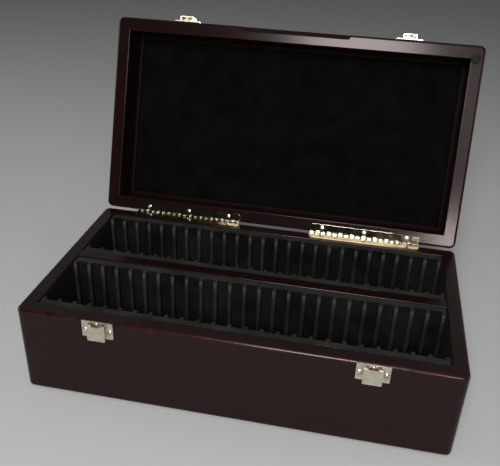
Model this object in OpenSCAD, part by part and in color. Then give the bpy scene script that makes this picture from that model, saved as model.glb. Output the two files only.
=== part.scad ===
// Coin display case for holders that stand on edge in two slotted rows.
// The lid is drawn standing open on its stop. The origin is the centre of the
// resting face, +X runs to the right, +Y to the hinges and +Z up.

/* [Coin rows] */
// Number of slots in each row
slots = 25; // [22:1:29]
// Width of a slot, along the row
slot_w = 10.3; // [9:0.1:12]
// Thickness of the ribs between the slots
rib_w = 3.4; // [2.5:0.1:4.2]
// How far the ribs stand out of their backing strip
rib_depth = 4.6; // [3:0.1:6]
// Width of the holders that stand in the slots
holder_w = 63.5; // [58:0.5:72]
// Play of a holder at each end, between the two backing strips
holder_play = 1.35; // [0.5:0.05:2.5]
// Thickness of the backing strips of the racks
strip_t = 7.6; // [5:0.1:9]
// Drop of the racks' top below the rim
rack_drop = 0.7; // [0.4:0.1:3]
// Lead-in chamfer on top of each rib
rib_lead = 1.6; // [0.5:0.1:2.5]

/* [Wooden case] */
// Height of the base, from the table to its rim
base_h = 85; // [75:1:105]
// Height of the lid, from its rim to its top
lid_h = 47; // [38:1:60]
// Thickness of the side walls
wall_t = 13.3; // [12:0.1:15]
// Radius of the upright corners
corner_r = 6; // [5:0.5:9]
// Rounding of the rims and of the bottom edges
edge_r = 2.5; // [1.5:0.1:3]
// Rounding of the lid's top edges
top_edge_r = 4; // [2:0.1:4.5]
// Easing of the inner rim edges
ease_r = 0.8; // [0.4:0.1:1.5]
// Thickness of the bottom panel
floor_t = 6; // [4:0.5:9]
// Rebate of the walls that holds the bottom panel
rebate_w = 5; // [3:0.5:7]
// Thickness of the lid's top panel
top_t = 6; // [5:0.5:9]
// Thickness of the divider between the rows
divider_t = 11.6; // [8:0.1:16]
// Length of the finger grip cut into the lid's front edge
grip_l = 118; // [80:1:140]
// Height of the finger grip
grip_h = 5; // [3:0.1:6]

/* [Linings] */
// Thickness of the felt under the base
felt_t = 1; // [0.8:0.1:2]
// Distance of that felt from the outer faces
felt_inset = 4; // [3:0.5:10]
// Thickness of the liners on the compartment floors
liner_t = 1.5; // [1:0.1:3]
// Thickness of the liners on the end walls
end_liner_t = 1; // [0.6:0.1:2]
// Thickness of the lid's lining panel
lining_t = 1.5; // [1:0.1:3]
// Width and height of the wooden bead that frames the lining
bead_w = 3.2; // [2.5:0.1:5]
// Diameter of the bumper on the lid's rim
bumper_d = 10; // [8:0.5:11]

/* [Hinges] */
// Angle at which the lid rests on the hinges' stop
lid_open = 110; // [95:1:115]
// Length of each hinge
hinge_l = 114; // [90:1:125]
// Distance from the end of the case to the hinge
hinge_inset = 36; // [25:1:45]
// Width of a hinge leaf, from the pin to its free edge
leaf_w = 8.8; // [8:0.1:10.5]
// Thickness of the hinge leaves
leaf_t = 0.7; // [0.5:0.05:0.75]
// Gap that the hinges leave between the closed rims
rim_gap = 2; // [2:0.05:2.4]
// Number of knuckles on each hinge, an odd number
knuckles = 19; // [15:2:23]
// Radius of the knuckles
knuckle_r = 1.7; // [1.5:0.05:1.8]
// Radius of the hinge pins
hinge_pin_r = 0.8; // [0.6:0.05:0.9]

/* [Catches] */
// Distance from the end of the case to the middle of a catch
catch_inset = 73.5; // [60:0.5:85]
// Width of the catch plates
plate_w = 27.3; // [26:0.1:32]
// Height of the catch plates
plate_h = 16.2; // [15.5:0.1:20]
// Thickness of the catch plates
plate_t = 1.2; // [0.8:0.05:1.3]
// Width of the lever flap
lever_w = 15.4; // [14.8:0.1:15.8]
// Height of the lever flap
lever_h = 15.3; // [13.5:0.1:18]
// Distance of the flap's outer face from the wood
lever_q = 5.2; // [5.1:0.05:5.6]
// Thickness of the lever's sheet metal
lever_t = 0.75; // [0.5:0.05:0.8]
// Radius of the lever's pins
lever_pin_r = 0.5; // [0.4:0.05:0.55]
// Width of the striker plates on the lid
strike_w = 26; // [24.6:0.1:30]
// Height of the striker plates
strike_h = 14.5; // [14:0.1:18]
// Width of the striker's raised housing
housing_w = 13.2; // [12:0.1:14]
// Distance of the housing's outer face from the wood
housing_q = 5.5; // [4.8:0.1:6.5]

/* [Screws] */
// Radius of the round screw heads on the catches
head_r = 2.35; // [2:0.05:2.4]
// Height of those heads
head_h = 1.5; // [1:0.1:1.8]
// Radius of the screw shanks
shank_r = 1; // [0.7:0.05:1.2]
// Length of the screws in the wood
screw_l = 9; // [6:0.5:10.5]
// Radius of the countersunk heads on the hinges
flat_head_r = 2.1; // [1.7:0.05:2.3]

/* [Hidden] */
$fn = 48;

// Clearances
glue = 0.02;      // screws and pins in the holes that grip them
running = 0.05;   // pins in the holes that turn on them
slack = 0.3;      // pieces that pass each other
end_gap = 0.25;   // racks to the end liners
panel_fit = 0.1;  // bottom panel in its rebate
past = 5;         // how far a cutter reaches past what it cuts

// Case sizes that follow from the rows
pitch = slot_w + rib_w;
rack_l = slots * pitch + rib_w;
row_d = holder_w + 2 * holder_play + 2 * strip_t;
inner_l = rack_l + 2 * (end_gap + end_liner_t);
inner_d = 2 * row_d + divider_t;
case_l = inner_l + 2 * wall_t;
case_d = inner_d + 2 * wall_t;
row_y = (divider_t + row_d) / 2;

// Heights
floor_z = felt_t + floor_t;
rack_z = floor_z + liner_t;
rack_h = base_h - rack_drop - rack_z;
lid_z = base_h + rim_gap;
panel_z = lid_z + lid_h - top_t;
lining_z = panel_z - lining_t;

// Hinge axis, just behind the back faces and half way up the gap
hinge_out = 0.3;
hinge_y = case_d / 2 + hinge_out;
hinge_z = base_h + rim_gap / 2;
hinge_x = case_l / 2 - hinge_inset - hinge_l / 2;
knuckle_pitch = hinge_l / knuckles;
knuckle_gap = 0.3;
leaf_corner_r = 3;
hinge_screw_end = 13;
hinge_screw_x = hinge_l / 2 - hinge_screw_end;
hinge_screw_in = 5.2;
sink_h = 1.2;
crown_h = 0.25;

// Catches: x across, y = -q outwards from the wood, z from the base rim or the lid rim
catch_x = case_l / 2 - catch_inset;
ear_x = (plate_w + lever_w) / 4;
ear_z = -9.2;
plate_corner_r = 0.8;
plate_top = -0.2;
mid_head_r = 1.7;
mid_z = -2.4;
lever_top = -1.6;
roll_r = (lever_q - plate_t - slack) / 2;
roll_turn = 96;
lever_axis_q = lever_q - roll_r;
lever_axis_z = lever_top - roll_r;
cheek_in = lever_w / 2 - 0.8;
mouth_w = 7.8;
mouth_z = lever_axis_z - 0.8;
nose_t = 0.8;
nose_z = mouth_z - 0.2 - nose_t;
nose_q = 3;
nose_w = 7.2;
lip = 0.5;
prong_in = 2.3;
prong_out = 3.5;
prong_q = [plate_t + 0.3, 2.5];
toe_q = 3.6;
toe_h = 1;
toe_top = nose_z - 0.4;
lug_in = cheek_in - 1.2;
lug_t = 0.9;
lug_r = lever_pin_r + 0.3;
web_h = 2.2;
wire_r = 0.15;
striker_ear_x = (strike_w + housing_w) / 4;
striker_ear_z = 8;
striker_low = 1;
housing_low = 0.3;
housing_h = 13.2;
housing_t = 0.9;
fork_root = [4, 11];

WOOD = "#3a1713";
WOOD_INSIDE = "#42160f";
BLACK = "#1b1b1d";
RACK = "#3b3b3e";
NICKEL = "#c9c6ba";
STEEL = "#9c9c9c";
PAD = "#4c5250";

// Turns a child drawn for the front side to side 0 front, 1 right, 2 back or 3 left
module at_side(side) {
    rotate([0, 0, 90 * side]) children();
}
function along(side) = side % 2 == 0 ? inner_l : inner_d;
function across(side) = side % 2 == 0 ? inner_d : inner_l;

// Turns pieces that are drawn closed to the lid's resting angle
module lid_pose() {
    translate([0, hinge_y, hinge_z])
        rotate([-lid_open, 0, 0])
            translate([0, -hinge_y, -hinge_z]) children();
}

// Flat outline with rounded corners
module rounded_rect(x0, x1, y0, y1, r) {
    translate([x0 + r, y0]) square([x1 - x0 - 2 * r, y1 - y0]);
    translate([x0, y0 + r]) square([x1 - x0, y1 - y0 - 2 * r]);
    for (x = [x0 + r, x1 - r], y = [y0 + r, y1 - r])
        translate([x, y]) circle(r);
}

// Section of an edge strip: 0 to depth, with its outer corners rounded
module edge_section(depth, h, r_low, r_up) {
    difference() {
        square([depth, h]);
        if (r_low > 0) translate([depth, 0]) outside_arc(r_low);
        if (r_up > 0) translate([depth, h]) mirror([0, 1]) outside_arc(r_up);
    }
}
module outside_arc(r) {
    difference() {
        translate([-r, -1]) square([r + 1, r + 1]);
        translate([-r, r]) circle(r);
    }
}

// Solid block of the case's outline with rounded corners and edges
module rounded_block(h, r_low, r_up) {
    lx = case_l / 2 - corner_r;
    ly = case_d / 2 - corner_r;
    translate([-lx, -ly, 0]) cube([2 * lx, 2 * ly, h]);
    for (side = [0:3]) {
        reach = side % 2 == 0 ? ly : lx;
        run = side % 2 == 0 ? lx : ly;
        at_side(side) translate([run, -reach, 0])
            rotate([90, 0, -90]) linear_extrude(2 * run) edge_section(corner_r, h, r_low, r_up);
    }
    for (x = [-lx, lx], y = [-ly, ly])
        translate([x, y, 0]) rotate_extrude() edge_section(corner_r, h, r_low, r_up);
}

// Prism that holds one side of the case between its two mitres
module mitre(side, z, h) {
    l = along(side) / 2;
    d = across(side) / 2;
    out = wall_t + past;
    in = bead_w + 2;
    at_side(side) translate([0, 0, z - 1]) linear_extrude(h + 2)
        polygon([[-l - out, -d - out], [l + out, -d - out], [l - in, -d + in], [-l + in, -d + in]]);
}

// Cutter that eases the inner rim edge of one side, at rim height z, upwards or downwards
module ease(side, z, dir) {
    l = along(side) / 2 + 2 * ease_r;
    at_side(side) translate([l, -across(side) / 2, z])
        rotate([90, 0, -90]) linear_extrude(2 * l) scale_y(dir) difference() {
            translate([-0.01, -ease_r]) square([ease_r + 0.01, ease_r + 0.01]);
            translate([ease_r, -ease_r]) circle(ease_r);
        }
}
module scale_y(dir) {
    if (dir > 0) children();
    else mirror([0, 1]) children();
}

// One mitred wall between the heights z and z + h
module wall(side, z, h, r_low, r_up) {
    difference() {
        intersection() {
            translate([0, 0, z]) rounded_block(h, r_low, r_up);
            mitre(side, z, h);
        }
        translate([-inner_l / 2, -inner_d / 2, z - 1]) cube([inner_l, inner_d, h + 2]);
    }
}

// Bores for hinge screws, dir -1 down into the base or 1 up into the lid
module hinge_bores(z, dir) {
    for (x = [-1, 1], k = [-1:1])
        translate([x * hinge_x + k * hinge_screw_x, hinge_y - hinge_screw_in, z])
            mirror([0, 0, dir < 0 ? 0 : 1]) translate([0, 0, leaf_t]) sunk_hole(screw_l + glue);
}

// Base
module base_wall(side) {
    difference() {
        wall(side, felt_t, base_h - felt_t, edge_r, edge_r);
        ease(side, base_h, 1);
        translate([-inner_l / 2 - rebate_w, -inner_d / 2 - rebate_w, felt_t - 1])
            cube([inner_l + 2 * rebate_w, inner_d + 2 * rebate_w, floor_t + 1]);
        if (side == 2) hinge_bores(base_h, -1);
        if (side == 0) for (s = [-1, 1]) catch_frame(s) catch_bores();
    }
}
module base_wall_front() color(WOOD) base_wall(0);
module base_wall_right() color(WOOD) base_wall(1);
module base_wall_back() color(WOOD) base_wall(2);
module base_wall_left() color(WOOD) base_wall(3);

module base_floor() {
    l = inner_l + 2 * (rebate_w - panel_fit);
    d = inner_d + 2 * (rebate_w - panel_fit);
    color(WOOD_INSIDE) translate([-l / 2, -d / 2, felt_t]) cube([l, d, floor_t]);
}
module base_felt() {
    x = case_l / 2 - felt_inset;
    y = case_d / 2 - felt_inset;
    color(BLACK) linear_extrude(felt_t) rounded_rect(-x, x, -y, y, corner_r);
}
module divider() {
    h = base_h - floor_z;
    color(WOOD_INSIDE) translate([inner_l / 2, 0, floor_z])
        rotate([90, 0, -90]) linear_extrude(inner_l) {
            translate([-divider_t / 2, 0]) square([divider_t, h - ease_r]);
            translate([-divider_t / 2 + ease_r, 0]) square([divider_t - 2 * ease_r, h]);
            for (s = [-1, 1])
                translate([s * (divider_t / 2 - ease_r), h - ease_r]) circle(ease_r);
        }
}

// Racks: row -1 is the front row, 1 the back row; face -1 stands at a row's front, 1 at its back
module rack_frame(row, face) {
    translate([0, row * row_y, rack_z]) mirror([0, face < 0 ? 0 : 1, 0])
        translate([0, -row_d / 2, 0]) children();
}
module strip(row, face) {
    color(RACK) rack_frame(row, face)
        translate([-rack_l / 2, 0, 0]) cube([rack_l, strip_t, rack_h]);
}
module rib() {
    tip_r = min(1.2, rib_w / 2 - 0.1);
    difference() {
        linear_extrude(rack_h) {
            translate([-rib_w / 2, 0]) square([rib_w, rib_depth - tip_r]);
            translate([-rib_w / 2 + tip_r, 0]) square([rib_w - 2 * tip_r, rib_depth]);
            for (s = [-1, 1])
                translate([s * (rib_w / 2 - tip_r), rib_depth - tip_r]) circle(tip_r);
        }
        translate([0, rib_depth - rib_lead, rack_h]) rotate([-45, 0, 0])
            translate([-rib_w, 0, 0]) cube([2 * rib_w, 2 * rib_depth, rib_depth]);
    }
}
module ribs(row, face) {
    color(RACK) rack_frame(row, face) translate([0, strip_t, 0])
        for (i = [0:slots])
            translate([(i - slots / 2) * pitch, 0, 0]) rib();
}
module strip_front_near() strip(-1, -1);
module strip_front_far() strip(-1, 1);
module strip_back_near() strip(1, -1);
module strip_back_far() strip(1, 1);
module ribs_front_near() ribs(-1, -1);
module ribs_front_far() ribs(-1, 1);
module ribs_back_near() ribs(1, -1);
module ribs_back_far() ribs(1, 1);

module floor_liner(row) {
    color(BLACK) translate([-inner_l / 2, row * row_y - row_d / 2, floor_z])
        cube([inner_l, row_d, liner_t]);
}
module floor_liner_front() floor_liner(-1);
module floor_liner_back() floor_liner(1);
module end_liners() {
    color(BLACK) for (row = [-1, 1], s = [-1, 1])
        translate([s * (inner_l - end_liner_t) / 2, row * row_y, rack_z + rack_h / 2])
            cube([end_liner_t, row_d, rack_h], center = true);
}

// Lid
module lid_wall(side) {
    lid_pose() difference() {
        wall(side, lid_z, lid_h - top_t, edge_r, 0);
        ease(side, lid_z, -1);
        if (side == 2) hinge_bores(lid_z, 1);
        if (side == 0) grip_cut();
        if (side == 0) for (s = [-1, 1]) striker_frame(s) striker_bores();
    }
}
module grip_cut() {
    cut = grip_h / sqrt(2);
    reach = 2 * grip_h;
    half = grip_l / 2;
    translate([0, -case_d / 2, lid_z]) rotate([-135, 0, 0])
        translate([0, -cut, -reach]) linear_extrude(2 * reach)
            polygon([
                [-half + grip_h, 0], [half - grip_h, 0],
                [half + grip_h, 2 * cut], [-half - grip_h, 2 * cut]
            ]);
}
module lid_wall_front() color(WOOD) lid_wall(0);
module lid_wall_right() color(WOOD) lid_wall(1);
module lid_wall_back() color(WOOD) lid_wall(2);
module lid_wall_left() color(WOOD) lid_wall(3);
module lid_top() {
    color(WOOD) lid_pose() translate([0, 0, panel_z]) rounded_block(top_t, 0, top_edge_r);
}
module lid_lining() {
    color(BLACK) lid_pose() translate([-inner_l / 2, -inner_d / 2, lining_z])
        cube([inner_l, inner_d, lining_t]);
}
module bead(side) {
    l = along(side) / 2;
    round_r = bead_w / 2;
    color(WOOD_INSIDE) lid_pose() intersection() {
        at_side(side) translate([l, -across(side) / 2, lining_z - bead_w])
            rotate([90, 0, -90]) linear_extrude(2 * l) mirror([1, 0]) {
                translate([0, round_r]) square([bead_w, bead_w - round_r]);
                square([bead_w - round_r, bead_w]);
                translate([bead_w - round_r, round_r]) circle(round_r);
            }
        mitre(side, lining_z - bead_w, bead_w);
    }
}
module bead_front() bead(0);
module bead_right() bead(1);
module bead_back() bead(2);
module bead_left() bead(3);
module bumper() {
    play = 0.05;
    edge = 0.4;
    color(PAD) lid_pose()
        translate([inner_l / 2 + bumper_d / 2 - 0.5, -inner_d / 2 - 0.5, lid_z]) mirror([0, 0, 1]) {
            cylinder(h = rim_gap - play - edge, r = bumper_d / 2);
            translate([0, 0, rim_gap - play - edge])
                cylinder(h = edge, r1 = bumper_d / 2, r2 = bumper_d / 2 - edge);
        }
}

// Hinges: s is -1 for the left one and 1 for the right one
module along_x(x0, x1) {
    translate([x1, 0, 0]) rotate([90, 0, -90]) linear_extrude(x1 - x0) children();
}
module rod(x0, x1, r) {
    translate([x0, 0, 0]) rotate([0, 90, 0]) cylinder(h = x1 - x0, r = r);
}
// Leaf about its own axis, lying under it; the knuckles with this parity are its own
module leaf(parity) {
    back = knuckle_r + slack;
    drop = rim_gap / 2;
    difference() {
        union() {
            translate([0, 0, -drop]) linear_extrude(leaf_t) {
                rounded_rect(-hinge_l / 2, hinge_l / 2, -leaf_w, -back, leaf_corner_r);
                translate([-hinge_l / 2, -back - leaf_corner_r])
                    square([hinge_l, leaf_corner_r]);
            }
            for (k = [0 : knuckles - 1]) if (k % 2 == parity) {
                x0 = -hinge_l / 2 + k * knuckle_pitch + knuckle_gap / 2;
                x1 = x0 + knuckle_pitch - knuckle_gap;
                rod(x0, x1, knuckle_r);
                translate([x0, -back - 0.1, -drop]) cube([x1 - x0, back + 0.1, leaf_t]);
            }
        }
        rod(-hinge_l / 2 - 1, hinge_l / 2 + 1, hinge_pin_r + running);
        for (k = [-1:1]) translate([k * hinge_screw_x, -hinge_screw_in, leaf_t - drop])
            sunk_hole(sink_h + 1);
    }
}
// Hole for a countersunk screw whose head ends at z = 0
module sunk_hole(l) {
    translate([0, 0, -sink_h])
        cylinder(h = sink_h, r1 = shank_r + glue, r2 = flat_head_r + glue);
    translate([0, 0, -l]) cylinder(h = l, r = shank_r + glue);
    cylinder(h = 1, r = flat_head_r + glue);
}
module hinge_at(s) {
    translate([s * hinge_x, hinge_y, hinge_z]) children();
}
module hinge_base_leaf(s) {
    color(NICKEL) hinge_at(s) leaf(0);
}
module hinge_lid_leaf(s) {
    color(NICKEL) lid_pose() hinge_at(s) mirror([0, 0, 1]) leaf(1);
}
module hinge_pin(s) {
    color(STEEL) hinge_at(s) rod(-hinge_l / 2, hinge_l / 2, hinge_pin_r);
}
module hinge_base_leaf_left() hinge_base_leaf(-1);
module hinge_base_leaf_right() hinge_base_leaf(1);
module hinge_lid_leaf_left() hinge_lid_leaf(-1);
module hinge_lid_leaf_right() hinge_lid_leaf(1);
module hinge_pin_left() hinge_pin(-1);
module hinge_pin_right() hinge_pin(1);

// Countersunk screw with its seat at z = 0 and a low crown above it
module flat_screw() {
    crown_r = (flat_head_r * flat_head_r + crown_h * crown_h) / (2 * crown_h);
    difference() {
        union() {
            translate([0, 0, -sink_h]) cylinder(h = sink_h, r1 = shank_r, r2 = flat_head_r);
            translate([0, 0, -screw_l]) cylinder(h = screw_l, r = shank_r);
            intersection() {
                translate([0, 0, crown_h - crown_r]) sphere(r = crown_r);
                cylinder(h = 1, r = flat_head_r);
            }
        }
        cross_recess(crown_h, 0.55 * flat_head_r);
    }
}
module cross_recess(top, reach) {
    slot = 0.5;
    for (turn = [0, 90]) rotate([0, 0, turn])
        translate([-reach, -slot / 2, top - 0.6]) cube([2 * reach, slot, 1]);
}
module hinge_screws(drop) {
    for (s = [-1, 1], k = [-1:1]) hinge_at(s)
        translate([k * hinge_screw_x, -hinge_screw_in, leaf_t - drop]) flat_screw();
}
module hinge_base_screws() color(NICKEL) hinge_screws(rim_gap / 2);
module hinge_lid_screws() {
    color(NICKEL) lid_pose() translate([0, 0, 2 * hinge_z]) mirror([0, 0, 1])
        hinge_screws(rim_gap / 2);
}

// Catches on the base
module catch_frame(s) {
    translate([s * catch_x, -case_d / 2, base_h]) children();
}
module striker_frame(s) {
    translate([s * catch_x, -case_d / 2, lid_z]) children();
}
// Places a child, drawn looking along +Z from z = 0, on the front face
module facing(x, z, q) {
    translate([x, -q, z]) rotate([90, 0, 0]) children();
}
// Plate in the plane of the front, between the distances q0 and q1 from the wood
module sheet(q0, q1) {
    facing(0, 0, q0) linear_extrude(q1 - q0) children();
}
module catch_bores() {
    for (x = [-ear_x, ear_x]) facing(x, ear_z, 0) bore();
    facing(0, mid_z, 0) bore();
}
module striker_bores() {
    for (x = [-striker_ear_x, striker_ear_x]) facing(x, striker_ear_z, 0) bore();
}
module bore() {
    translate([0, 0, -screw_l - glue]) cylinder(h = screw_l + past, r = shank_r + glue);
}
// Round headed screw whose head sits at z = 0
module round_screw(r, h) {
    ball = (r * r + h * h) / (2 * h);
    difference() {
        union() {
            translate([0, 0, -screw_l - plate_t]) cylinder(h = screw_l + plate_t, r = shank_r);
            intersection() {
                translate([0, 0, h - ball]) sphere(r = ball);
                cylinder(h = h + 1, r = r);
            }
        }
        cross_recess(h, 0.5 * r);
    }
}
module catch_plate(s) {
    color(NICKEL) catch_frame(s) difference() {
        union() {
            sheet(0, plate_t)
                rounded_rect(-plate_w / 2, plate_w / 2, -plate_h, plate_top, plate_corner_r);
            for (side = [-1, 1]) {
                x = side * (lug_in + lug_t / 2);
                along_x(x - lug_t / 2, x + lug_t / 2)
                    translate([lever_axis_q, lever_axis_z]) {
                        circle(lug_r);
                        polygon([
                            [0, -slack], [0, -0.98 * lug_r],
                            [-roll_r - 2 * slack, -web_h], [-roll_r - 2 * slack, -slack]
                        ]);
                    }
            }
        }
        catch_bores();
        translate([0, -lever_axis_q, lever_axis_z])
            rod(-plate_w / 2, plate_w / 2, lever_pin_r + glue);
    }
}
// Lever: a flap whose top is rolled over its pins, open in the middle for the striker's fork
module catch_lever(s) {
    low = lever_top - lever_h;
    inner_q = lever_q - lever_t;
    color(NICKEL) catch_frame(s) difference() {
        union() {
            sheet(inner_q, lever_q) difference() {
                union() {
                    rounded_rect(-lever_w / 2, lever_w / 2, low, low + 2, 0.5);
                    translate([-lever_w / 2, low + 1])
                        square([lever_w, lever_axis_z - low - 1]);
                }
                translate([-mouth_w / 2, mouth_z]) square([mouth_w, past]);
            }
            for (side = [-1, 1])
                lever_strip(side, mouth_w / 2) difference() {
                    lever_roll();
                    translate([lever_axis_q, lever_axis_z]) circle(roll_r - lever_t);
                }
            sheet(lever_q - 0.1, lever_q + lip)
                rounded_rect(-lever_w / 2, lever_w / 2, low, low + 1.1, 0.3);
            for (side = [-1, 1]) lever_strip(side, cheek_in) {
                translate([lever_axis_q, lever_axis_z]) circle(roll_r);
                polygon([
                    [inner_q + 0.1, lever_axis_z], [inner_q + 0.1, low + 0.5],
                    [inner_q - 0.8, low + 0.5], [lever_axis_q - roll_r, low + 5],
                    [lever_axis_q - roll_r, lever_axis_z]
                ]);
            }
            translate([-nose_w / 2, -inner_q - 0.1, nose_z])
                cube([nose_w, inner_q + 0.1 - nose_q, nose_t]);
        }
        translate([0, -lever_axis_q, lever_axis_z])
            rod(-lever_w, lever_w, lever_pin_r + running);
    }
}
// Extrudes a section along one side of the lever, from the distance x to its outer edge
module lever_strip(side, x) {
    x0 = min(side * x, side * lever_w / 2);
    along_x(x0, x0 + lever_w / 2 - x) children();
}
// Section of the rolled top: the part of a disc from the flap over the top to roll_turn
module lever_roll() {
    reach = 2 * roll_r;
    translate([lever_axis_q, lever_axis_z]) intersection() {
        circle(roll_r);
        polygon([[0, 0], [reach, 0], [reach, reach], [reach / tan(roll_turn), reach]]);
    }
}
module lever_pins(s) {
    inner = lug_in - 1.2;
    head = 0.35;
    color(STEEL) catch_frame(s) translate([0, -lever_axis_q, lever_axis_z])
        for (side = [0, 1]) mirror([side, 0, 0]) {
            rod(inner, lever_w / 2 + 0.1, lever_pin_r);
            rod(lever_w / 2 + 0.05, lever_w / 2 + 0.05 + head, 2 * lever_pin_r);
        }
}
// Springs wound round the pins beside the lugs, with one leg on the plate and one on the flap
module lever_springs(s) {
    ring = lever_pin_r + running;
    x1 = lug_in - 0.1;
    x0 = x1 - 6 * wire_r;
    leg = 5;
    color(STEEL) catch_frame(s) translate([0, -lever_axis_q, lever_axis_z])
        for (side = [0, 1]) mirror([side, 0, 0]) {
            difference() {
                rod(x0, x1, ring + 2 * wire_r);
                rod(x0 - 1, x1 + 1, ring);
            }
            translate([x0, ring + 0.03, 0]) spring_leg(leg);
            translate([x1 - 1.7 * wire_r, -ring - 0.03 - 1.7 * wire_r, 0]) spring_leg(leg);
        }
}
module spring_leg(l) {
    translate([0, 0, -l]) cube([1.7 * wire_r, 1.7 * wire_r, l]);
}
module catch_screws(s) {
    color(NICKEL) catch_frame(s) {
        for (x = [-ear_x, ear_x]) facing(x, ear_z, plate_t) round_screw(head_r, head_h);
        facing(0, mid_z, plate_t) round_screw(mid_head_r, head_h);
    }
}

// Strikers on the lid
module striker(s) {
    top = striker_low + strike_h;
    half = housing_w / 2;
    color(NICKEL) lid_pose() striker_frame(s) difference() {
        union() {
            sheet(0, plate_t)
                rounded_rect(-strike_w / 2, strike_w / 2, striker_low, top, plate_corner_r);
            sheet(0, housing_q)
                rounded_rect(-half, half, housing_low, housing_low + housing_h, 0.6);
        }
        translate([-half + housing_t, housing_t - housing_q, housing_low - 1])
            cube([2 * (half - housing_t), housing_q - housing_t - plate_t,
                housing_h + 1 - housing_t]);
        translate([-half - 1, -plate_t, housing_low - 1])
            cube([2 * half + 2, plate_t + 1, striker_low - housing_low + 1]);
        striker_bores();
    }
}
module striker_fork(s) {
    tip = toe_top - toe_h - rim_gap;
    color(NICKEL) lid_pose() striker_frame(s) {
        sheet(plate_t, prong_q[1])
            rounded_rect(-prong_out, prong_out, fork_root[0], fork_root[1], 0.8);
        for (side = [-1, 1]) {
            x0 = min(side * prong_in, side * prong_out);
            along_x(x0, x0 + prong_out - prong_in) {
                translate([prong_q[0], tip])
                    square([prong_q[1] - prong_q[0], fork_root[0] + 0.5 - tip]);
                translate([prong_q[0], tip + toe_h / 2])
                    square([toe_q - toe_h / 2 - prong_q[0], toe_h / 2]);
                translate([prong_q[0], tip])
                    square([toe_q - toe_h / 2 - prong_q[0], toe_h / 2 + 0.01]);
                translate([toe_q - toe_h / 2, tip + toe_h / 2]) circle(toe_h / 2);
            }
        }
    }
}
module striker_screws(s) {
    color(NICKEL) lid_pose() striker_frame(s) for (x = [-striker_ear_x, striker_ear_x])
        facing(x, striker_ear_z, plate_t) round_screw(head_r, head_h);
}
module catch_plate_left() catch_plate(-1);
module catch_plate_right() catch_plate(1);
module catch_lever_left() catch_lever(-1);
module catch_lever_right() catch_lever(1);
module lever_pins_left() lever_pins(-1);
module lever_pins_right() lever_pins(1);
module lever_springs_left() lever_springs(-1);
module lever_springs_right() lever_springs(1);
module catch_screws_left() catch_screws(-1);
module catch_screws_right() catch_screws(1);
module striker_left() striker(-1);
module striker_right() striker(1);
module striker_fork_left() striker_fork(-1);
module striker_fork_right() striker_fork(1);
module striker_screws_left() striker_screws(-1);
module striker_screws_right() striker_screws(1);

base_wall_front();
base_wall_right();
base_wall_back();
base_wall_left();
base_floor();
base_felt();
divider();
strip_front_near();
strip_front_far();
strip_back_near();
strip_back_far();
ribs_front_near();
ribs_front_far();
ribs_back_near();
ribs_back_far();
floor_liner_front();
floor_liner_back();
end_liners();
lid_wall_front();
lid_wall_right();
lid_wall_back();
lid_wall_left();
lid_top();
lid_lining();
bead_front();
bead_right();
bead_back();
bead_left();
bumper();
hinge_base_leaf_left();
hinge_lid_leaf_left();
hinge_pin_left();
hinge_base_leaf_right();
hinge_lid_leaf_right();
hinge_pin_right();
hinge_base_screws();
hinge_lid_screws();
catch_plate_left();
catch_lever_left();
lever_pins_left();
lever_springs_left();
catch_screws_left();
striker_left();
striker_fork_left();
striker_screws_left();
catch_plate_right();
catch_lever_right();
lever_pins_right();
lever_springs_right();
catch_screws_right();
striker_right();
striker_fork_right();
striker_screws_right();
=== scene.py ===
"""Looks of the coin display case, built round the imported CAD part."""
from math import cos, pi, radians, sin, sqrt

import bmesh
import bpy
from mathutils import Matrix, Vector


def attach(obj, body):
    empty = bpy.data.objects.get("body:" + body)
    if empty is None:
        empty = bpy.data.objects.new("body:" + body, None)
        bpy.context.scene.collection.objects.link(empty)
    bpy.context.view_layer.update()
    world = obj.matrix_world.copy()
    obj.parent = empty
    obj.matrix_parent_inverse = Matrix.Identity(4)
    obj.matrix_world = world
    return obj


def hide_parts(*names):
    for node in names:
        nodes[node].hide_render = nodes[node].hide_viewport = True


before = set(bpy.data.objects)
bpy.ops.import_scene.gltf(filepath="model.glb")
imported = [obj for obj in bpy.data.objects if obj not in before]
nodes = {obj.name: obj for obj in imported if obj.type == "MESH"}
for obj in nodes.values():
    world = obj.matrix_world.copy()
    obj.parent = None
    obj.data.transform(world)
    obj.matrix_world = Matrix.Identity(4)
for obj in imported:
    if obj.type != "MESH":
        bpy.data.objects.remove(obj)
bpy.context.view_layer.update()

# Sizes in millimetres, as in the part's source. On the catches and strikers, H and Z run up
# from the rim, and Q out from the wood.
CASE_L, CASE_D, BASE_H = 375.0, 201.0, 85.0
LID_Z, LID_H, WALL_T = 87.0, 47.0, 13.3
LID_OPEN = 110.0  # degrees
HINGE = (0.0, 100.8, 86.0)
HINGE_X, HINGE_L, KNUCKLES, KNUCKLE_R = 94.5, 114.0, 19, 1.7
PIN_R, LEAF_W, LEAF_T, LEAF_DROP, LEAF_CORNER = 0.8, 8.8, 0.7, 1.0, 3.0
HINGE_SCREW_X, HINGE_SCREW_IN = 44.0, 5.2
RACK_L, STRIP_T, RACK_Z, RACK_H, ROW_Y, ROW_D = 345.9, 7.6, 8.5, 75.8, 46.5, 81.4
SLOTS, PITCH, RIB_W, RIB_DEPTH, RIB_LEAD = 25, 13.7, 3.4, 4.6, 1.6
CATCH_X = 114.0
PLATE_W, PLATE_H, PLATE_T, PLATE_TOP = 27.3, 16.2, 1.2, -0.2
LEVER_W, LEVER_H, LEVER_Q, LEVER_T, LEVER_TOP = 15.4, 15.3, 5.2, 0.75, -1.6
ROLL_R, LEVER_PIN_R, LUG_R, WIRE_R = 1.85, 0.5, 0.8, 0.15
AXIS_Q, AXIS_Z = LEVER_Q - ROLL_R, LEVER_TOP - ROLL_R
NOSE_W, NOSE_T, NOSE_Q, NOSE_Z = 7.2, 0.8, 3.0, AXIS_Z - 1.8
EAR_X, EAR_Z, MID_Z = 10.675, -9.2, -2.4
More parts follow.
